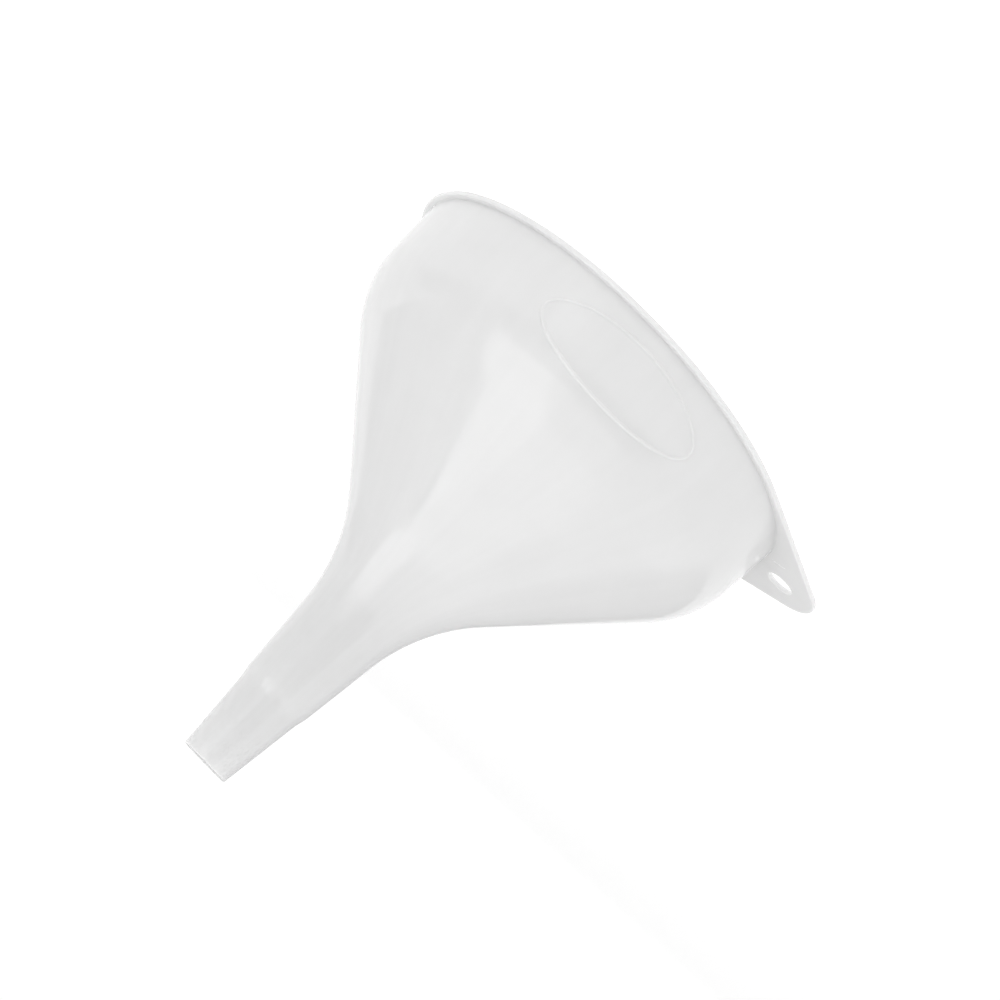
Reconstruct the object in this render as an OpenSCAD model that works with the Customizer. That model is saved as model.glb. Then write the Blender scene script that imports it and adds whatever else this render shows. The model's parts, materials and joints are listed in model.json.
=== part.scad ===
// Plastic pouring funnel, moulded in one piece, standing on its mouth.
// The nodes are the regions of that one moulding. Each meets the next face to face, and there is
// no gap or overlap between them. The origin is the centre of the mouth, +Z runs up the spout,
// and the hanging tab points along +X.

/* [Mouth] */
// Outside diameter of the flat flange round the mouth
rim_d = 140; // [110:1:180]
// Thickness of the flange and of the hanging tab
rim_t = 1.4; // [1:0.1:2.4]
// How far the flange stands out from the side wall
lip_w = 1.8; // [1:0.1:4]

/* [Bell] */
// Wall thickness, square to the surface
wall_t = 1.6; // [1:0.1:2.4]
// Height at which the line of the cone would meet the line of the side wall
shoulder_z = 28.6; // [24:0.1:40]
// Draft of the side wall, in degrees from the axis
side_draft = 3.4; // [1:0.1:6]
// Slope of the cone, in degrees from the axis
cone_angle = 42; // [32:0.5:52]
// Radius of the round shoulder between side wall and cone
shoulder_r = 34; // [20:1:42]

/* [Spout] */
// Length of the spout from its end to where its line would meet the line of the cone
spout_len = 67; // [54:1:110]
// Outside diameter at the spout's end
tip_d = 15; // [12:0.5:22]
// Slope of the spout, in degrees from the axis
spout_angle = 6; // [3:0.5:8]
// Radius of the hollow curve between cone and spout
throat_r = 54; // [25:1:70]
// Length of the thinner stretch that ends the spout
tip_len = 25; // [15:1:30]
// Height of the small step where the thinner stretch starts
step_h = 0.4; // [0.2:0.1:0.8]
// Length of the slope on that step
step_run = 0.8; // [0.4:0.1:2]
// Chamfer round the outside of the spout's end
tip_chamfer = 0.4; // [0.1:0.1:0.6]

/* [Hanging tab] */
// How far the tab reaches past the flange
tab_reach = 19.5; // [16:0.5:30]
// Radius of the tab's round nose
nose_r = 16; // [10:0.5:18]
// Diameter of the hanging hole
hole_d = 8.6; // [5:0.1:12]
// From the tab's end to the centre of the hole
hole_inset = 12; // [9:0.5:14]
// How far the tab's two thin corners stand off the flange where they end
corner_t = 0.3; // [0.2:0.1:0.6]

/* [Raised oval] */
// Length of the blank oval on the side wall
oval_l = 54; // [30:1:60]
// Height of the oval
oval_h = 19; // [12:0.5:20]
// Height of the oval's centre above the mouth
oval_z = 15.5; // [12:0.5:18]
// Width of the raised line
line_w = 1.1; // [0.6:0.1:2]
// How far the line stands out from the wall
line_h = 0.4; // [0.2:0.1:0.8]

/* [Hidden] */
$fn = 96;

rim_r = rim_d / 2;
tip_r = tip_d / 2;
PLASTIC = [0.93, 0.93, 0.92];
// Past any surface that a cutting shape has to reach
SPARE = 20;
OVAL_SIDES = 72;
// Angle between neighbouring points on the outline under the raised oval
ARC_STEP = 3;
// Steps round each half of the tab's nose
NOSE_STEPS = 9;

function unit(angle) = [cos(angle), sin(angle)];
function reversed(list) = [for (i = [len(list) - 1 : -1 : 0]) list[i]];

// The half section is drawn in [radius, height]. A slope is named by its angle from the axis:
// unit() of that angle is its outward normal, and its distance is measured along the normal.
function distance(point, angle) = point * unit(angle);
// Where two sloping lines cross
function crossing(angle1, d1, angle2, d2) =
    [d1 * sin(angle2) - d2 * sin(angle1), d2 * cos(angle1) - d1 * cos(angle2)]
    / sin(angle2 - angle1);
// The point of a sloping line at one height
function at_height(angle, d, z) = [(d - z * sin(angle)) / cos(angle), z];

bell_r = rim_r - lip_w;
corner = [bell_r - shoulder_z * tan(side_draft), shoulder_z];
root_r = tip_r + step_h + spout_len * tan(spout_angle);
root = [root_r, shoulder_z + (corner[0] - root_r) / tan(cone_angle)];
total_h = root[1] + spout_len;
step_z = total_h - tip_len;

// Distance of each outer line from the origin, along its own normal
side_d = distance([bell_r, 0], side_draft);
cone_d = distance(corner, cone_angle);
spout_d = distance(root, spout_angle);
tip_line_d = distance([tip_r, total_h], spout_angle);

// A hollow curve has its centre outside the wall, and a round one has it inside
throat_c = crossing(cone_angle, cone_d + throat_r, spout_angle, spout_d + throat_r);
shoulder_c = crossing(side_draft, side_d - shoulder_r, cone_angle, cone_d - shoulder_r);

// The four cuts between the regions are square to the wall: [outer point, inner point]
side_cut = [shoulder_c + shoulder_r * unit(side_draft),
            shoulder_c + (shoulder_r - wall_t) * unit(side_draft)];
cone_cut = [shoulder_c + shoulder_r * unit(cone_angle),
            shoulder_c + (shoulder_r - wall_t) * unit(cone_angle)];
throat_cut = [throat_c - throat_r * unit(cone_angle),
              throat_c - (throat_r + wall_t) * unit(cone_angle)];
spout_cut = [throat_c - throat_r * unit(spout_angle),
             throat_c - (throat_r + wall_t) * unit(spout_angle)];

// A ring turned from a closed outline of its half section
module turned(outline) {
    color(PLASTIC) rotate_extrude() polygon(outline);
}

// A stretch of a round wall between two directions seen from the centre of its curve
module curved_section(centre, r_small, r_large, from_angle, to_angle) {
    far = 2 * r_large;
    intersection() {
        translate(centre) difference() {
            circle(r = r_large, $fn = 180);
            circle(r = r_small, $fn = 180);
        }
        polygon([centre, centre + far * unit(from_angle), centre + far * unit(to_angle)]);
    }
}

// Flat ring round the mouth, with the lip that stands out
module rim_flange() {
    turned([at_height(side_draft, side_d - wall_t, 0), [rim_r, 0], [rim_r, rim_t],
            at_height(side_draft, side_d - wall_t, rim_t)]);
}

// Tongue in the plane of the flange. Each flank is one line, tangent to the flange and to the
// round nose, and it starts where it already stands a little off the flange.
module hang_tab() {
    nose_x = rim_r + tab_reach - nose_r;
    flank = acos((rim_r - nose_r) / nose_x);
    start = flank - acos(rim_r / (rim_r + corner_t));
    root = [for (side = [-1, 1]) [(rim_r - rim_t) * unit(side * start),
                                  (rim_r + corner_t) * unit(side * start)]];
    nose = [for (i = [-NOSE_STEPS : NOSE_STEPS])
        [nose_x, 0] + nose_r * unit(flank * i / NOSE_STEPS)];
    color(PLASTIC) linear_extrude(rim_t) difference() {
        polygon(concat(root[0], nose, reversed(root[1])));
        circle(r = rim_r);
        translate([rim_r + tab_reach - hole_inset, 0]) circle(d = hole_d);
    }
}

// Nearly straight band between the flange and the shoulder
module side_wall() {
    turned([at_height(side_draft, side_d, rim_t), side_cut[0], side_cut[1],
            at_height(side_draft, side_d - wall_t, rim_t)]);
}

// Round turn from the side wall into the cone
module shoulder() {
    color(PLASTIC) rotate_extrude()
        curved_section(shoulder_c, shoulder_r - wall_t, shoulder_r, side_draft, cone_angle);
}

// Straight cone of the bell
module cone() {
    turned([cone_cut[0], throat_cut[0], throat_cut[1], cone_cut[1]]);
}

// Hollow curve from the cone into the spout
module throat() {
    color(PLASTIC) rotate_extrude()
        curved_section(throat_c, throat_r, throat_r + wall_t, 180 + cone_angle, 180 + spout_angle);
}

// Tapered tube up to the step
module spout() {
    turned([spout_cut[0], at_height(spout_angle, spout_d, step_z - step_run),
            at_height(spout_angle, tip_line_d, step_z),
            at_height(spout_angle, spout_d - wall_t, step_z), spout_cut[1]]);
}

// Thinner end of the spout, cut square
module spout_tip() {
    turned([at_height(spout_angle, tip_line_d, step_z),
            at_height(spout_angle, tip_line_d, total_h - tip_chamfer),
            [tip_r - tip_chamfer, total_h],
            at_height(spout_angle, spout_d - wall_t, total_h),
            at_height(spout_angle, spout_d - wall_t, step_z)]);
}

// Oval outline on the XZ plane, half as long as a and half as high as b
module oval(a, b) {
    polygon([for (i = [0 : OVAL_SIDES - 1])
        let (t = 360 * i / OVAL_SIDES) [a / 2 * cos(t), oval_z + b / 2 * sin(t)]]);
}

// Outside of the bell from the flange up over the shoulder, moved out by a height
function bell_outline(out) = concat([at_height(side_draft, side_d + out, rim_t)],
    [for (a = [side_draft : ARC_STEP : cone_angle]) shoulder_c + (shoulder_r + out) * unit(a)]);

// Blank oval line that stands out from the side wall and shoulder, on the +Y side
module blank_oval() {
    color(PLASTIC) intersection() {
        rotate_extrude() polygon(concat(bell_outline(line_h), reversed(bell_outline(0))));
        translate([0, rim_r + SPARE, 0]) rotate([90, 0, 0]) linear_extrude(rim_r) difference() {
            oval(oval_l, oval_h);
            oval(oval_l - 2 * line_w, oval_h - 2 * line_w);
        }
    }
}

rim_flange();
hang_tab();
side_wall();
shoulder();
cone();
throat();
spout();
spout_tip();
blank_oval();
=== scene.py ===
# %% [markdown]
# # A plastic pouring funnel
# This lesson builds a kitchen and workshop funnel as it leaves the mould: one piece of natural
# polypropylene with a wide mouth, a round shoulder, a straight cone, a slim spout and a tab to
# hang it by. It stands on its mouth, spout up.
#
# The engineering model is loaded first and never changed. It says where everything is. The
# visual model is then made round the same sizes, as one closed skin instead of nine solids.

# %% Load the engineering model
import json
import math

import bmesh
import bpy
from mathutils import Matrix, Vector


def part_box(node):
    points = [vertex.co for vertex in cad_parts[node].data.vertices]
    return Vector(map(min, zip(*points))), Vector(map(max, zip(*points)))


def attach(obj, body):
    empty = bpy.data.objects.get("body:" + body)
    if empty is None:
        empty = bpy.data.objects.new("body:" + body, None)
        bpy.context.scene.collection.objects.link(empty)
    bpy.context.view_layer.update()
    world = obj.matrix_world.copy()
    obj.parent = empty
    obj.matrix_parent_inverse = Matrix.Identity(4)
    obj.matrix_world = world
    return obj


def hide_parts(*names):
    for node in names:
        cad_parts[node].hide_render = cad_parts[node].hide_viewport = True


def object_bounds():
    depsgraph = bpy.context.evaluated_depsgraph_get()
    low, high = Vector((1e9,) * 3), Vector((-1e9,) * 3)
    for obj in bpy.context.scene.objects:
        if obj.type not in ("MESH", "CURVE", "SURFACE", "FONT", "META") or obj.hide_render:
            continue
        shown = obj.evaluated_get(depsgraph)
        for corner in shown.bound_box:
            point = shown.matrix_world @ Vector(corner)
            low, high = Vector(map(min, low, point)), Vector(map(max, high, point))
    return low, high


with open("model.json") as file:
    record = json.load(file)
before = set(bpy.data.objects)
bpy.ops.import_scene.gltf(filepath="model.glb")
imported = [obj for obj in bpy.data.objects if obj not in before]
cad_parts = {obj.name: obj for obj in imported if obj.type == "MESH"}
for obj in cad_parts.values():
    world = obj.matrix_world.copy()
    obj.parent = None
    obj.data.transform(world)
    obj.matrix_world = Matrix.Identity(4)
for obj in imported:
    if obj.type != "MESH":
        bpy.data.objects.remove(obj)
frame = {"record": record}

MM = 0.001
record = frame["record"]
cad_low, cad_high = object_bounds()
print("engineering model, mm:", [round(side / MM, 2) for side in cad_high - cad_low])

# %% [markdown]
# ## The half section
# A funnel is a turned shape, so most of it is one outline spun round the axis. The outline could
# be traced by hand with a curve, but a maker thinks of it as straight lines, each with a slope
# and a place, joined by tangent curves. Writing it that way keeps the joins truly smooth, which
# matters here, because a glossy wall shows every kink as a broken reflection.
#
# A line is named by the direction that it faces: 0 degrees faces away from the axis and 90
# degrees faces up. Its distance is measured from the origin along that direction.

# %% Lines and where they cross
def facing(degrees):
    """The direction that a line of the half section faces, as (outwards, up)."""
    return Vector((math.cos(math.radians(degrees)), math.sin(math.radians(degrees))))


def crossing(angle_a, distance_a, angle_b, distance_b):
    """The point where two lines of the half section cross."""
    a, b = math.radians(angle_a), math.radians(angle_b)
    out = distance_a * math.sin(b) - distance_b * math.sin(a)
    up = distance_b * math.cos(a) - distance_a * math.cos(b)
    return Vector((out, up)) / math.sin(b - a)


# %% [markdown]
# ## Sizes
# The heights and radii come from the boxes of the engineering model's regions. A box can't say
# what slope a wall has or how round a corner is, so those are written here, with the engineering
# model's own values. Two details are made softer than there, the step on the spout and the
# raised oval, and a comment beside each says by how much.

# %% Slopes, curves and the wall
WALL = 1.6 * MM
SIDE_SLOPE = 3.4
CONE_SLOPE = 42.0
SPOUT_SLOPE = 6.0
SHOULDER_RADIUS = 34.0 * MM
THROAT_RADIUS = 54.0 * MM
STEP_RUN = 0.8 * MM

# %% Places read from the engineering model
rim_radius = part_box("rim_flange")[1].y
flange_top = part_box("rim_flange")[1].z
total_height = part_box("spout_tip")[1].z
step_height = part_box("spout_tip")[0].z


def widest_point(node, slope):
    """The outer end of a region's lower cut. The cut is square to the wall, so its inner end,
    which is the box's lowest point, lies a little lower."""
    low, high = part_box(node)
    return Vector((high.y, low.z + WALL * math.sin(math.radians(slope))))


side_foot = Vector((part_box("side_wall")[1].y, flange_top))
cone_foot = widest_point("cone", CONE_SLOPE)
spout_foot = widest_point("spout", SPOUT_SLOPE)
tip_foot = Vector((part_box("spout_tip")[1].y, step_height))

side_line = side_foot.dot(facing(SIDE_SLOPE))
cone_line = cone_foot.dot(facing(CONE_SLOPE))
spout_line = spout_foot.dot(facing(SPOUT_SLOPE))
tip_line = tip_foot.dot(facing(SPOUT_SLOPE))
print("line distances, mm:", [round(d / MM, 3) for d in (side_line, cone_line, spout_line, tip_line)])

# %% [markdown]
# The engineering model's edges are sharp, apart from a chamfer on the spout's end, because they
# don't matter there. Nothing that comes out of a mould has a truly sharp edge, and it is the
# round of an edge that catches the light. The rounds below are the usual ones on a wall this
# thin.

# %% Edge rounds
EDGE_ROUND = 0.45 * MM
MOUTH_ROUND = 0.4 * MM
FLANGE_FILLET = 0.35 * MM
TIP_ROUND = 0.3 * MM
TIP_INNER_ROUND = 0.25 * MM
HOLE_ROUND = 0.35 * MM

# %% The step on the spout
# The step's slope drops from the spout's line to the tip's line. The engineering model does that
# in 0.8 mm. Here the slope has the same middle and is eased over 3.2 mm, because the step left
# in a turned mould is soft: a hard one would shine as a bright ring round the spout.
STEP_EASE = 1.6 * MM
STEP_ROUND = 14.0 * MM
step_middle = step_height - STEP_RUN / 2
step_start = crossing(SPOUT_SLOPE, spout_line, 90, step_middle - STEP_EASE)
step_end = crossing(SPOUT_SLOPE, tip_line, 90, step_middle + STEP_EASE)
step_slope = math.degrees(math.atan2(step_start.x - step_end.x, 2 * STEP_EASE))
step_line = step_end.dot(facing(step_slope))
print("step:", round((spout_line - tip_line) / MM, 2), "mm, sloping at", round(step_slope, 1), "degrees")

# %% The section as lines and corners
# Each line: (direction that it faces, its distance, radius of the corner to the next line).
# The list runs up the outside, over the spout's end, and down the inside to the mouth.
SECTION = [
    (90.0, flange_top, FLANGE_FILLET),
    (SIDE_SLOPE, side_line, SHOULDER_RADIUS),
    (CONE_SLOPE, cone_line, THROAT_RADIUS),
    (SPOUT_SLOPE, spout_line, STEP_ROUND),
    (step_slope, step_line, STEP_ROUND),
    (SPOUT_SLOPE, tip_line, TIP_ROUND),
    (90.0, total_height, TIP_INNER_ROUND),
    (180 + SPOUT_SLOPE, WALL - spout_line, THROAT_RADIUS + WALL),
    (180 + CONE_SLOPE, WALL - cone_line, SHOULDER_RADIUS - WALL),
    (180 + SIDE_SLOPE, WALL - side_line, MOUTH_ROUND),
    (270.0, 0.0, 0.0),
]

# %% [markdown]
# ## From lines to points
# A corner that turns outwards is round, and its centre lies inside the plastic. One that turns
# back is hollow, and its centre lies outside. The turn's own sign says which, so one rule draws
# both. Every point keeps the direction that the surface faces there. Those directions are used
# as the mesh's normals later, so the reflections follow the true curve and not the facets.

# %% Points along the section
ROW_STEP = 2.4 * MM
TURN_STEP = 15.0
FEWEST_STEPS = 2


def corner(line, following):
    """The points of the tangent curve between two lines, each with the way it faces."""
    angle_a, distance_a, radius = line
    angle_b, distance_b, _ = following
    turn = angle_b - angle_a
    signed = math.copysign(radius, turn)
    centre = crossing(angle_a, distance_a - signed, angle_b, distance_b - signed)
    by_length = radius * math.radians(abs(turn)) / ROW_STEP
    steps = max(FEWEST_STEPS, math.ceil(by_length), math.ceil(abs(turn) / TURN_STEP))
    angles = [angle_a + turn * i / steps for i in range(steps + 1)]
    return [(centre + signed * facing(angle), facing(angle)) for angle in angles]


# %% The whole section
section = []
for line, following in zip(SECTION, SECTION[1:]):
    curve = corner(line, following)
    if section:
        start, facing_there = section[-1]
        stretch = curve[0][0] - start
        rows = max(1, math.ceil(stretch.length / ROW_STEP))
        section += [(start + stretch * i / rows, facing_there) for i in range(1, rows)]
    section += curve
print("section:", len(section), "points from", len(SECTION), "lines")

# %% [markdown]
# ## The outline of the flange
# Seen from above, the flange is a circle with a tab that grows out of it on two straight flanks.
# Each flank is tangent to the circle and to the tab's round nose. The outline is asked for by
# direction from the axis, so every column of the turned wall meets its own point of the outline.

# %% Place and size of the hanging hole
hang_hole = next(m for m in record["mounts"] if m["name"] == "hang_hole")
hole_centre = Vector(hang_hole["pos_m"][:2])
hole_radius = hang_hole["dims"]["r_mm"] * MM
print("hanging hole, mm:", round(2 * hole_radius / MM, 2), "wide at x =", round(hole_centre.x / MM, 2))

# %% Nose and flanks of the tab
NOSE_RADIUS = 16.0 * MM
nose_centre = Vector((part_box("hang_tab")[1].x - NOSE_RADIUS, 0.0))
flank_angle = math.acos((rim_radius - NOSE_RADIUS) / nose_centre.x)
nose_joint = nose_centre + NOSE_RADIUS * Vector((math.cos(flank_angle), math.sin(flank_angle)))
nose_angle = math.atan2(nose_joint.y, nose_joint.x)
print("tab, degrees either side:", [round(math.degrees(a), 1) for a in (nose_angle, flank_angle)])


# %% Outline of flange and tab
def outline(angle):
    """The point of the outline in one direction from the axis, and the way the edge faces."""
    ray = Vector((math.cos(angle), math.sin(angle)))
    if abs(angle) >= flank_angle:
        return rim_radius * ray, ray
    if abs(angle) >= nose_angle:
        side = math.copysign(flank_angle, angle)
        out = Vector((math.cos(side), math.sin(side)))
        return ray * (rim_radius / ray.dot(out)), out
    along = nose_centre.x * ray.x
    point = ray * (along + math.sqrt(NOSE_RADIUS**2 - (nose_centre.x * ray.y) ** 2))
    return point, (point - nose_centre) / NOSE_RADIUS


# %% Columns round the axis
COLUMN_STEP = math.radians(2)
NOSE_STEPS = 24
# So that a whole number of steps isn't counted as one more, because of rounding
ROUNDING = 1e-9


def spread(start, end, step):
    """Even angles from start up to, but not including, end."""
    count = math.ceil((end - start) / step - ROUNDING)
    return [start + (end - start) * i / count for i in range(count)]


def nose_column(turn):
    """The direction from the axis of one point of the round nose."""
    point = nose_centre + NOSE_RADIUS * Vector((math.cos(turn), math.sin(turn)))
    return math.atan2(point.y, point.x)


# %% All the columns
# The columns start at one end of the tab's flank and go once round
nose_turns = spread(-flank_angle, flank_angle, 2 * flank_angle / NOSE_STEPS)
columns = spread(-flank_angle, -nose_angle, COLUMN_STEP)
columns += [nose_column(turn) for turn in nose_turns]
columns += spread(nose_angle, flank_angle, COLUMN_STEP)
tab_columns = len(columns)
columns += spread(flank_angle, math.pi, COLUMN_STEP)
columns += spread(-math.pi, -flank_angle, COLUMN_STEP)
print("columns:", len(columns), "of them across the tab:", tab_columns)

# %% [markdown]
# ## The skin
# The whole moulding is one closed mesh of rings. Each ring holds one vertex per column, and
# neighbouring rings are joined by four-sided faces. Joining nine separate solids would leave
# seams that the light finds at once, and a real moulding has none.

# %% Vertices that remember the way they face
skin = bmesh.new()
faces_way = skin.verts.layers.float_vector.new("faces_way")


def add_vertex(position, way):
    """A vertex that remembers the way its surface faces."""
    vertex = skin.verts.new(position)
    vertex[faces_way] = way
    return vertex


# %% Rings of vertices
def turned_ring(point, way):
    """A ring of the turned wall."""
    ring = []
    for angle in columns:
        ray = Vector((math.cos(angle), math.sin(angle), 0))
        up = Vector((0, 0, 1))
        ring.append(add_vertex(ray * point.x + up * point.y, ray * way.x + up * way.y))
    return ring


def edge_ring(height, turn):
    """A ring of the flange's rounded outer edge, at one turn of the round: -90 faces down, 0
    faces outwards and 90 faces up."""
    ring = []
    way = facing(turn)
    for angle in columns:
        point, out = outline(angle)
        point = point + out * EDGE_ROUND * (way.x - 1)
        position = point.to_3d() + Vector((0, 0, height + EDGE_ROUND * way.y))
        ring.append(add_vertex(position, out.to_3d() * way.x + Vector((0, 0, way.y))))
    return ring


# %% Faces between rings
def join(ring_a, ring_b, first=0, last=None):
    """Faces between two rings, from one column to another."""
    count = len(ring_a)
    for i in range(first, count if last is None else last):
        j = (i + 1) % count
        skin.faces.new((ring_a[i], ring_a[j], ring_b[j], ring_b[i]))


# %% Wall and flange edge
wall_rings = [turned_ring(point, way) for point, way in section]
for ring_a, ring_b in zip(wall_rings, wall_rings[1:]):
    join(ring_a, ring_b)

EDGE_TURNS = [0, 18, 36, 54, 72, 90]
edge_rings = [edge_ring(EDGE_ROUND, -turn) for turn in reversed(EDGE_TURNS)]
edge_rings += [edge_ring(flange_top - EDGE_ROUND, turn) for turn in EDGE_TURNS]
for ring_a, ring_b in zip(edge_rings, edge_rings[1:]):
    join(ring_a, ring_b)
print("rings:", len(wall_rings), "round the wall and", len(edge_rings), "round the flange's edge")

# %% [markdown]
# The flat faces of the flange run from the wall to the outer edge. Beside the tab they are plain
# strips. On the tab they have a hole, so there the strip is left open, the hole's own rings are
# made, and Blender fills the flat area between the loops with triangles. The area is flat, so
# the triangles never show.

# %% Flat faces beside the tab
top_inner, bottom_inner = wall_rings[0], wall_rings[-1]
bottom_outer, top_outer = edge_rings[0], edge_rings[-1]
join(bottom_inner, bottom_outer, first=tab_columns)
join(top_outer, top_inner, first=tab_columns)

# %% Hanging hole
HOLE_COLUMNS = 72


def hole_ring(height, turn):
    """A ring of the hole's wall. Its edges are rounded towards both faces of the tab."""
    ring = []
    way = facing(turn)
    radius = hole_radius + HOLE_ROUND * (1 - way.x)
    for i in range(HOLE_COLUMNS):
        angle = 2 * math.pi * i / HOLE_COLUMNS
        ray = Vector((math.cos(angle), math.sin(angle), 0))
        position = hole_centre.to_3d() + ray * radius
        position.z = height + HOLE_ROUND * way.y
        ring.append(add_vertex(position, -ray * way.x + Vector((0, 0, way.y))))
    return ring


hole_rings = [hole_ring(HOLE_ROUND, -turn) for turn in reversed(EDGE_TURNS)]
hole_rings += [hole_ring(flange_top - HOLE_ROUND, turn) for turn in EDGE_TURNS]
for ring_a, ring_b in zip(hole_rings, hole_rings[1:]):
    join(ring_a, ring_b)


# %% Flat faces of the tab
def loop_edges(ring, count=None):
    """The edges along a ring, all of them or the first few."""
    pairs = zip(ring, ring[1:] + ring[:1])
    edges = [skin.edges.get(pair) for pair in pairs]
    return edges if count is None else edges[:count]


def fill_tab(inner, outer, hole, up):
    """Fills the flat of the tab between the wall, the outer edge and the hole."""
    edges = loop_edges(inner, tab_columns) + loop_edges(outer, tab_columns) + loop_edges(hole)
    edges += [skin.edges.get((inner[k], outer[k])) for k in (0, tab_columns)]
    bmesh.ops.triangle_fill(skin, use_beauty=True, edges=edges, normal=(0, 0, up))


fill_tab(top_inner, top_outer, hole_rings[-1], 1)
fill_tab(bottom_inner, bottom_outer, hole_rings[0], -1)
open_edges = [e for e in skin.edges if len(e.link_faces) != 2]
print("skin:", len(skin.verts), "vertices,", len(skin.faces), "faces,", len(open_edges), "open edges")

# %% [markdown]
# ## The raised oval
# A thin raised line in the shape of an oval stands on the bell. On the mould it is a groove cut
# along a flat ellipse, so it is measured in a flat plane and lands on the curved wall. It could
# be a separate bead laid on the wall, but its foot would show a dark seam. Here the wall itself
# is cut finer where the oval lies, and its vertices are lifted.

# %% Height of the raised line
# The engineering model's line has square edges and is 0.4 mm high. Here it is rounded over and
# 0.26 mm high, like a line that was cut into the mould with a small round tool.
LINE_WIDTH = 1.1 * MM
LINE_HEIGHT = 0.26 * MM
# Within this share of the oval's own size, the line is far away
FAR_INSIDE = 0.5
oval_low, oval_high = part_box("blank_oval")
oval_centre_z = (oval_low.z + oval_high.z) / 2
half_long = (oval_high.x - oval_low.x - LINE_WIDTH) / 2
half_tall = (oval_high.z - oval_low.z - LINE_WIDTH) / 2


def line_height(x, z):
    """How far the wall is lifted at one place, seen square to the oval."""
    u, v = x / half_long, (z - oval_centre_z) / half_tall
    reach = math.hypot(u, v)
    if reach < FAR_INSIDE:
        return 0.0
    slope = math.hypot(u / half_long, v / half_tall) / reach
    across = abs(reach - 1) / slope / (LINE_WIDTH / 2)
    return LINE_HEIGHT * (1 - across**2) ** 2 if across < 1 else 0.0


# %% True radius of the bell at one height
shoulder_centre = crossing(
    SIDE_SLOPE, side_line - SHOULDER_RADIUS, CONE_SLOPE, cone_line - SHOULDER_RADIUS
)


def bell_at(height):
    """The bell's outer radius at one height, and the slope there."""
    rise = height - shoulder_centre.y
    if rise > SHOULDER_RADIUS * math.sin(math.radians(SIDE_SLOPE)):
        slope = math.degrees(math.asin(rise / SHOULDER_RADIUS))
        return shoulder_centre.x + SHOULDER_RADIUS * math.cos(math.radians(slope)), slope
    return crossing(SIDE_SLOPE, side_line, 90, height).x, SIDE_SLOPE


# %% Cut the wall finer under the oval
FINE_CUTS = 9
MARGIN = 1.2 * MM


def under_oval(vertex):
    """True for the bell's outer skin near the oval."""
    x, y, z = vertex.co
    inside_x = oval_low.x - MARGIN < x < oval_high.x + MARGIN
    inside_z = oval_low.z - MARGIN < z < oval_high.z + MARGIN
    if y < 0 or not inside_x or not inside_z:
        return False
    return math.hypot(x, y) > bell_at(z)[0] - WALL / 2


patch = [face for face in skin.faces if any(under_oval(vertex) for vertex in face.verts)]
patch_edges = list({edge for face in patch for edge in face.edges})
cut = bmesh.ops.subdivide_edges(skin, edges=patch_edges, cuts=FINE_CUTS, use_grid_fill=True)
new_vertices = [item for item in cut["geom_inner"] if isinstance(item, bmesh.types.BMVert)]
print("patch:", len(patch), "faces cut into", (FINE_CUTS + 1) ** 2, "each")

# %% Lift the line
NUDGE = 0.02 * MM


def shape_bell_vertex(vertex):
    """Puts a vertex on the true bell, lifts it by the line's height and turns its normal."""
    x, y, z = vertex.co
    radius, slope = bell_at(z)
    angle = math.atan2(y, x)
    out = Vector((math.cos(angle), math.sin(angle), 0))
    way = facing(slope)
    normal = out * way.x + Vector((0, 0, way.y))
    round_way = Vector((-out.y, out.x, 0))
    up_way = round_way.cross(normal)
    place = Vector((out.x * radius, out.y * radius, z))
    lift = line_height(place.x, place.z)
    tilt = Vector((0, 0, 0))
    for direction in (round_way, up_way):
        ahead, behind = place + direction * NUDGE, place - direction * NUDGE
        rise = line_height(ahead.x, ahead.z) - line_height(behind.x, behind.z)
        tilt += direction * rise / (2 * NUDGE)
    vertex.co = place + normal * lift
    vertex[faces_way] = (normal - tilt).normalized()
    return lift


# %% Shape every vertex of the patch
touched = set(new_vertices)
for face in patch:
    if face.is_valid:
        touched.update(face.verts)
lifts = [shape_bell_vertex(vertex) for vertex in touched]
print("raised line: highest", round(max(lifts) / MM, 3), "mm on", sum(h > 0 for h in lifts), "vertices")

# %% [markdown]
# The skin becomes an object. Its normals are set from the directions kept with the vertices, so
# a coarse ring still shades as the true curve.

# %% The moulding as an object
bmesh.ops.recalc_face_normals(skin, faces=skin.faces)
for face in skin.faces:
    face.smooth = True
skin.verts.index_update()
normals = [vertex[faces_way].normalized() for vertex in skin.verts]
mesh = bpy.data.meshes.new("funnel_moulding")
skin.to_mesh(mesh)
skin.free()
mesh.attributes.remove(mesh.attributes["faces_way"])
mesh.normals_split_custom_set_from_vertices(normals)
funnel = bpy.data.objects.new("funnel_moulding", mesh)
bpy.context.scene.collection.objects.link(funnel)
print("moulding:", len(mesh.vertices), "vertices,", len(mesh.polygons), "faces")

# %% Its place in the engineering model
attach(funnel, "root")
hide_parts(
    "rim_flange", "hang_tab", "side_wall", "shoulder", "cone", "throat", "spout",
    "spout_tip", "blank_oval",
)

# %% [markdown]
# ## Colours and nodes
# Colours are written as the sRGB hex values that a paint program shows. Blender's shaders work
# in linear light, so one function turns them over. A second one adds a node to a material, with
# its settings and all that feeds it said in one place.

# %% Linear colour
def linear(hex_colour):
    """A shader colour from an sRGB hex value, by the two-part curve of the sRGB standard."""
    parts = [int(hex_colour[i : i + 2], 16) / 255 for i in (1, 3, 5)]
    straight = [part / 12.92 for part in parts]
    curved = [((part + 0.055) / 1.055) ** 2.4 for part in parts]
    return [c if p > 0.04045 else s for p, s, c in zip(parts, straight, curved)] + [1.0]


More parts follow.
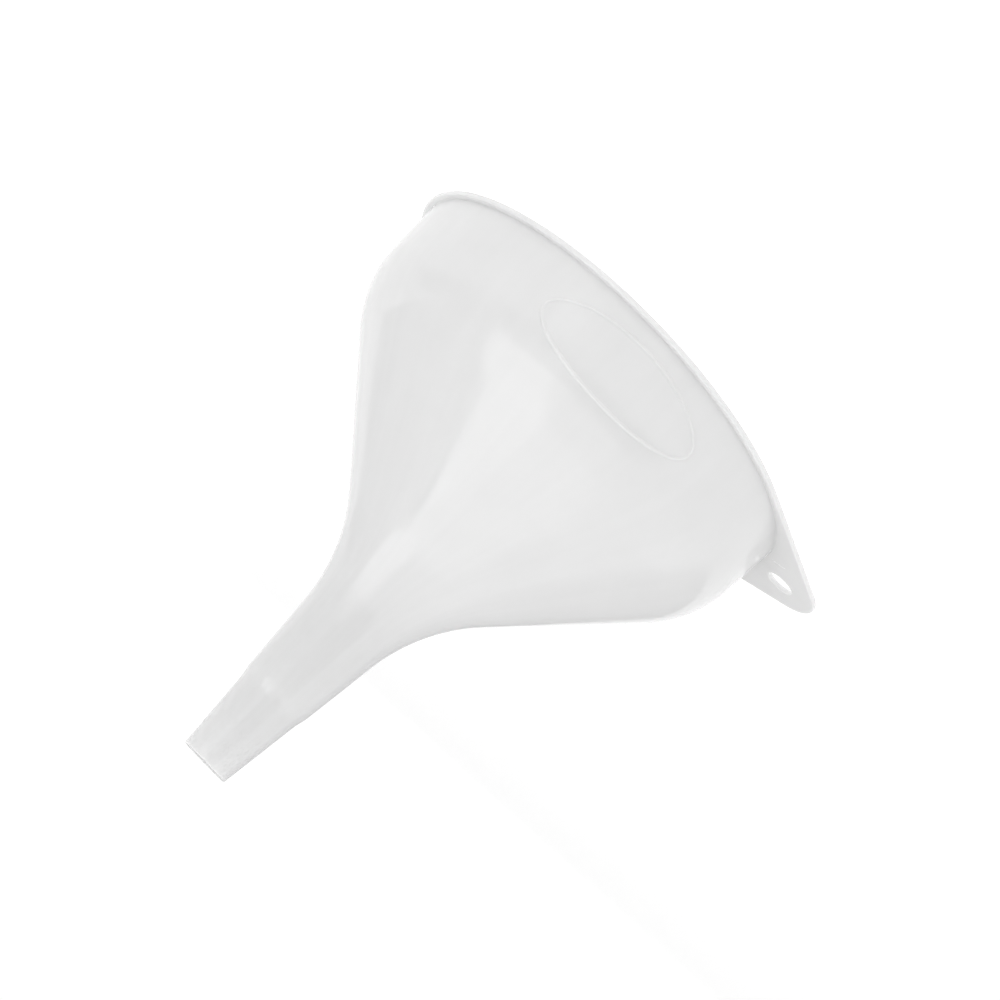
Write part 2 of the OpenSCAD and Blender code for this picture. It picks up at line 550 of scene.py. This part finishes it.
# %% Nodes
def add_node(tree, kind, inputs=None, **settings):
    """Adds a node and gives back its outputs. inputs gives a socket, by its name or its number,
    either a value or the output that feeds it. The settings are the node's own options."""
    node = tree.nodes.new(kind)
    for option, value in settings.items():
        setattr(node, option, value)
    for socket, value in (inputs or {}).items():
        if isinstance(value, bpy.types.NodeSocket):
            tree.links.new(value, node.inputs[socket])
        else:
            node.inputs[socket].default_value = value
    return node.outputs


def empty_material(name):
    """A material with no nodes yet."""
    material = bpy.data.materials.new(name)
    material.use_nodes = True
    material.node_tree.nodes.clear()
    return material


# %% [markdown]
# ## Natural polypropylene, moulded
# Polypropylene without colouring is milky white: light goes in, scatters in the wall and comes
# out a few millimetres away, so the thin wall glows a little from within. The mould is polished,
# so the surface has a clear but slightly soft gloss. Four fine things keep it from looking like
# perfect glass, and each is a pattern at its real size in millimetres:
#
# - the wall waves very slightly, because thin plastic shrinks unevenly as it cools
# - faint lines run up the wall the way the melt flowed, from the spout to the mouth
# - the mould's polish leaves a fine grain
# - handling leaves light rubs and a few hairline scratches, and wear on rim and spout end
#
# The patterns could be painted flat and wrapped round the wall. They are worked out by nodes
# instead, from the place on the funnel, so they have no seam and stay sharp from close by.

# %% Place on the funnel
plastic = empty_material("natural_polypropylene_moulded")
tree = plastic.node_tree
place = add_node(tree, "ShaderNodeTexCoord")["Object"]
height = add_node(tree, "ShaderNodeSeparateXYZ", {"Vector": place})["Z"]

# %% Sizes of the cloudy patterns
WAVE_LENGTH = 32 * MM
CLOUD_SIZE = 22 * MM
RUB_SIZE = 14 * MM
SCRATCH_SIZE = 26 * MM
# Real polishing marks are about 0.05 mm apart. They are drawn ten times as coarse, to show.
GRAIN_SIZE = 0.5 * MM

# %% Cloudy patterns
# Detail says how many finer layers a pattern has, and Roughness how strong they are
PATTERNS = {
    "waves": {"Scale": 1 / WAVE_LENGTH, "Detail": 1.0},
    "clouds": {"Scale": 1 / CLOUD_SIZE, "Detail": 3.0},
    "rubbed places": {"Scale": 1 / RUB_SIZE, "Detail": 5.0, "Roughness": 0.65},
    "scratch paths": {"Scale": 1 / SCRATCH_SIZE, "Detail": 2.0},
    "grain": {"Scale": 1 / GRAIN_SIZE, "Detail": 2.0},
}
cloudy = {}
for name, settings in PATTERNS.items():
    cloudy[name] = add_node(tree, "ShaderNodeTexNoise", {"Vector": place, **settings})["Fac"]
    print(name + ":", round(1 / settings["Scale"] / MM, 1), "mm")

# %% Flow lines
# The pattern is read on a circle of radius 1 that rises slowly, so it changes fast on the way
# round the wall and barely on the way up. With 13 lines to a radian they lie 5.4 mm apart at
# the rim and 0.6 mm at the spout's end.
FLOW_LINES_PER_RADIAN = 13
FLOW_RISE_PER_METRE = 2.0
LEVEL = (1, 1, 0)
UPRIGHT = (0, 0, FLOW_RISE_PER_METRE)
flat = add_node(tree, "ShaderNodeVectorMath", {0: place, 1: LEVEL}, operation="MULTIPLY")["Vector"]
circle = add_node(tree, "ShaderNodeVectorMath", {0: flat}, operation="NORMALIZE")["Vector"]
rise = add_node(tree, "ShaderNodeVectorMath", {0: place, 1: UPRIGHT}, operation="MULTIPLY")["Vector"]
around = add_node(tree, "ShaderNodeVectorMath", {0: circle, 1: rise}, operation="ADD")["Vector"]
flow = add_node(
    tree, "ShaderNodeTexNoise", {"Vector": around, "Scale": FLOW_LINES_PER_RADIAN, "Detail": 2.0}
)["Fac"]

# %% Rubs
# Only the highest parts of their pattern are rubbed, so the rubs are patches and not a film
RUB_STARTS, RUB_FULL = 0.5, 0.72
rubs = add_node(
    tree,
    "ShaderNodeMapRange",
    {"Value": cloudy["rubbed places"], "From Min": RUB_STARTS, "From Max": RUB_FULL},
)["Result"]

# %% Hairline scratches
# A scratch runs where a broad pattern crosses its middle value, as a contour runs on a map, and
# it only shows where the wall is rubbed as well
MIDDLE_VALUE = 0.5
HAIRLINE_WIDTH = 0.003
SCRATCH_STARTS, SCRATCH_FULL = 0.05, 0.4
above = add_node(
    tree, "ShaderNodeMath", {0: cloudy["scratch paths"], 1: MIDDLE_VALUE}, operation="SUBTRACT"
)["Value"]
away_from_path = add_node(tree, "ShaderNodeMath", {0: above}, operation="ABSOLUTE")["Value"]
hairline = add_node(
    tree,
    "ShaderNodeMapRange",
    {"Value": away_from_path, "From Max": HAIRLINE_WIDTH, "To Min": 1.0, "To Max": 0.0},
)["Result"]
handled = add_node(
    tree,
    "ShaderNodeMapRange",
    {"Value": rubs, "From Min": SCRATCH_STARTS, "From Max": SCRATCH_FULL},
)["Result"]
scratch = add_node(tree, "ShaderNodeMath", {0: hairline, 1: handled}, operation="MULTIPLY")["Value"]

# %% Wear on the rim and the spout's end
# The funnel is knocked at its lowest and its highest few millimetres
WEAR_REACH = 3 * MM
rim_wear = add_node(
    tree,
    "ShaderNodeMapRange",
    {
        "Value": height,
        "From Min": cad_low.z,
        "From Max": cad_low.z + WEAR_REACH,
        "To Min": 1.0,
        "To Max": 0.0,
    },
)["Result"]
end_wear = add_node(
    tree,
    "ShaderNodeMapRange",
    {"Value": height, "From Min": cad_high.z - WEAR_REACH, "From Max": cad_high.z},
)["Result"]
ends = add_node(tree, "ShaderNodeMath", {0: rim_wear, 1: end_wear}, operation="MAXIMUM")["Value"]
wear = add_node(tree, "ShaderNodeMath", {0: ends, 1: cloudy["grain"]}, operation="MULTIPLY")["Value"]

# %% Roughness
# A polished mould's gloss, which the flow lines vary, and rubs, scratches and wear make duller.
# Nearly all of a cloudy pattern's values lie in its middle range, so that range is spread out.
MIDDLE_RANGE = {"From Min": 0.3, "From Max": 0.7}
GLOSSIEST, DULLEST = 0.095, 0.12
DULLED_BY = [(rubs, 0.06), (scratch, 0.12), (wear, 0.2)]
roughness = add_node(
    tree,
    "ShaderNodeMapRange",
    {"Value": flow, **MIDDLE_RANGE, "To Min": GLOSSIEST, "To Max": DULLEST},
)["Result"]
for pattern, amount in DULLED_BY:
    sockets = {0: pattern, 1: amount, 2: roughness}
    roughness = add_node(tree, "ShaderNodeMath", sockets, operation="MULTIPLY_ADD")["Value"]

# %% Colour
# Milky white, a shade thinner and thicker in soft clouds and along the flow lines
THIN_MILK = "#DEDEDE"
THICK_MILK = "#E2E2E2"
SHADED_BY = [(cloudy["clouds"], 0.6), (flow, 0.4)]
shade = 0.0
for pattern, share in SHADED_BY:
    sockets = {0: pattern, 1: share, 2: shade}
    shade = add_node(tree, "ShaderNodeMath", sockets, operation="MULTIPLY_ADD")["Value"]
thickness = add_node(tree, "ShaderNodeMapRange", {"Value": shade, **MIDDLE_RANGE})["Result"]
# A Mix node has sockets for every kind of value: 6 and 7 take its colours, output 2 is their mix
sockets = {0: thickness, 6: linear(THIN_MILK), 7: linear(THICK_MILK)}
colour = add_node(tree, "ShaderNodeMix", sockets, data_type="RGBA")[2]

# %% Relief
# Each pattern times its depth in metres, added up and bent into the surface's normal
WAVE_DEPTH = 0.11 * MM
FLOW_DEPTH = 0.003 * MM
GRAIN_DEPTH = 0.0016 * MM
SCRATCH_DEPTH = 0.0015 * MM
RAISED_BY = [
    (cloudy["waves"], WAVE_DEPTH),
    (flow, FLOW_DEPTH),
    (cloudy["grain"], GRAIN_DEPTH),
    (scratch, -SCRATCH_DEPTH),
]
relief = 0.0
for pattern, depth in RAISED_BY:
    sockets = {0: pattern, 1: depth, 2: relief}
    relief = add_node(tree, "ShaderNodeMath", sockets, operation="MULTIPLY_ADD")["Value"]
bent_normal = add_node(tree, "ShaderNodeBump", {"Height": relief, "Distance": 1.0})["Normal"]

# %% The finished plastic
# 1.49 is the usual index of refraction of polypropylene. A wall of it mirrors about 4% of the
# light that meets it squarely and much more at a glance, so the outline looks glossier than the
# middle. The milky body is scattered light, which travels about 2.5 mm in the wall, in every
# colour alike.
POLYPROPYLENE_IOR = 1.49
SCATTER_LENGTH = 2.5 * MM
shader = add_node(
    tree,
    "ShaderNodeBsdfPrincipled",
    {
        "Base Color": colour,
        "Roughness": roughness,
        "Normal": bent_normal,
        "IOR": POLYPROPYLENE_IOR,
        "Subsurface Weight": 1.0,
        "Subsurface Radius": (1.0, 1.0, 1.0),
        "Subsurface Scale": SCATTER_LENGTH,
    },
)
add_node(tree, "ShaderNodeOutputMaterial", {"Surface": shader["BSDF"]})
funnel.data.materials.append(plastic)
print("polypropylene:", len(tree.nodes), "nodes")

# %% [markdown]
# ## Table and studio
# A white thing on a white ground is best shown on a sheet of white acrylic that is lit from
# below. The sheet glows just enough to come out pure white, and the faint dimming where the rim
# stands on it keeps the funnel from floating. The white walls of the studio are the world's own
# light.
#
# A glossy wall only looks glossy when it has something to reflect. A bright softbox stands high
# at one side of the camera, and a wide, soft one hangs overhead. Grey cards stand where the room
# should stay darker: one beside the bright softbox, which gives its reflection a crisp edge, one
# above that, one low round the camera, one low beside the camera, and one behind the funnel.
# The bright softbox and the cards are panels of the same kind, so one function makes them all.
# A panel is given by its corners, each a direction from the middle of the funnel, because that
# is how the funnel's wall sees it.

# %% Directions in the studio
middle = (cad_low + cad_high) / 2


def compass(azimuth, elevation=0.0):
    """A direction by its angle round the axis, from +X, and its angle above the table."""
    flat, up = facing(elevation)
    around = facing(azimuth)
    return Vector((around.x * flat, around.y * flat, up))


# %% Matt finish
MATT_ROUGHNESS = 0.9


def matt(name, hex_colour, glow=0.0):
    """A finish with no gloss, such as paper or cloth, which may glow white as well."""
    material = empty_material(name)
    shader = add_node(
        material.node_tree,
        "ShaderNodeBsdfPrincipled",
        {
            "Base Color": linear(hex_colour),
            "Roughness": MATT_ROUGHNESS,
            "Specular IOR Level": 0.0,
            "Emission Color": linear("#FFFFFF"),
            "Emission Strength": glow,
        },
    )
    add_node(material.node_tree, "ShaderNodeOutputMaterial", {"Surface": shader["BSDF"]})
    return material


# %% Table
TABLE_GLOW = 0.62
TABLE_SIZE = 8.0
TABLE_GAP = 0.02 * MM
bpy.ops.mesh.primitive_plane_add(size=TABLE_SIZE, location=(0, 0, cad_low.z - TABLE_GAP))
table = bpy.context.object
table.name = "table"
table.data.materials.append(matt("white_acrylic_lit_from_below", "#BABABA", TABLE_GLOW))

# %% White studio
WALL_LIGHT = 1.02
world = bpy.data.worlds.new("studio")
bpy.context.scene.world = world
world.use_nodes = True
walls = world.node_tree.nodes["Background"]
walls.inputs["Color"].default_value = linear("#FFFFFF")
walls.inputs["Strength"].default_value = WALL_LIGHT


# %% Panels round the funnel
def panel(name, corners, distance, finish):
    """A four-sided panel round the funnel that the camera itself doesn't see."""
    mesh = bpy.data.meshes.new(name)
    points = [middle + compass(azimuth, elevation) * distance for azimuth, elevation in corners]
    mesh.from_pydata(points, [], [range(len(points))])
    mesh.materials.append(finish)
    board = bpy.data.objects.new(name, mesh)
    bpy.context.scene.collection.objects.link(board)
    board.visible_camera = False


# %% The bright softbox
# Its face glows at 2.35, where the studio's walls glow at 1.02
KEY_GLOW = 2.35
KEY_DISTANCE = 1.0
KEY_CORNERS = [(108, 22), (145, 20), (161, 45), (146, 66), (100, 66)]
panel("key_softbox", KEY_CORNERS, KEY_DISTANCE, matt("key_softbox_cloth", "#000000", KEY_GLOW))

# %% Grey cards
# Each card: (grey, distance in metres, corners as azimuth and elevation in degrees)
CARDS = {
    "side_card": ("#C0C0C0", 1.1, [(150, 13), (232, 13), (232, 60), (150, 60)]),
    "upper_card": ("#707070", 1.08, [(150, 58), (232, 58), (225, 84), (160, 89)]),
    "camera_card": ("#686868", 1.0, [(50, 0), (112, 0), (106, 22), (56, 22)]),
    "low_card": ("#BCBCBC", 1.02, [(112, 0), (200, 0), (197, 12), (112, 9)]),
    "back_card": ("#C2C2C2", 1.0, [(264, -3), (340, -3), (340, 42), (264, 42)]),
}
for name, (grey, distance, corners) in CARDS.items():
    panel(name, corners, distance, matt(name + "_paper", grey))
print("cards:", len(CARDS))

# %% Overhead softbox
# This one is a light and not a panel, so it adds to the light of the walls behind it
TOP_AZIMUTH, TOP_ELEVATION, TOP_DISTANCE = 70, 76, 1.05
TOP_WIDTH, TOP_DEPTH = 0.9, 0.6
TOP_BRIGHTNESS = 0.5
light = bpy.data.lights.new("top_softbox", "AREA")
light.shape = "RECTANGLE"
light.size = TOP_WIDTH
light.size_y = TOP_DEPTH
light.energy = TOP_BRIGHTNESS * math.pi * TOP_WIDTH * TOP_DEPTH
softbox = bpy.data.objects.new("top_softbox", light)
bpy.context.scene.collection.objects.link(softbox)
away = compass(TOP_AZIMUTH, TOP_ELEVATION)
softbox.location = middle + away * TOP_DISTANCE
softbox.rotation_euler = away.to_track_quat("Z", "Y").to_euler()
softbox.visible_camera = False
print("overhead softbox:", round(light.energy, 2), "watts")

# %% [markdown]
# ## Camera
# The camera looks down a little at the funnel and is rolled, so the spout points down to the
# left and the mouth opens to the upper right. Roll can't be given by a place to look at, so the
# camera's three axes are worked out and put in its matrix.

# %% Where the camera stands and looks
CAMERA_AZIMUTH = 92.5
CAMERA_DISTANCE = 549.29 * MM
CAMERA_HEIGHT = 175.14 * MM
LOOK_AZIMUTH = 272.971
LOOK_DOWN = 13.383
ROLL = 225.982
stand = compass(CAMERA_AZIMUTH) * CAMERA_DISTANCE + Vector((0, 0, CAMERA_HEIGHT))
forward = compass(LOOK_AZIMUTH, -LOOK_DOWN)
level = forward.cross(Vector((0, 0, 1))).normalized()
raised = level.cross(forward)
turn = facing(ROLL)
right = level * turn.x + raised * turn.y
up = raised * turn.x - level * turn.y

# %% Camera and lens
SENSOR_WIDTH_MM = 36
LENS_MM = 72.717
NEAREST_SEEN = 0.01
camera_data = bpy.data.cameras.new("camera")
camera_data.sensor_width = SENSOR_WIDTH_MM
camera_data.lens = LENS_MM
camera_data.clip_start = NEAREST_SEEN
camera = bpy.data.objects.new("camera", camera_data)
bpy.context.scene.collection.objects.link(camera)
camera.matrix_world = Matrix.Translation(stand) @ Matrix((right, up, -forward)).transposed().to_4x4()
bpy.context.scene.camera = camera
bpy.context.scene.view_settings.view_transform = "Standard"
print("camera to the funnel's middle:", round((stand - middle).length / MM), "mm")
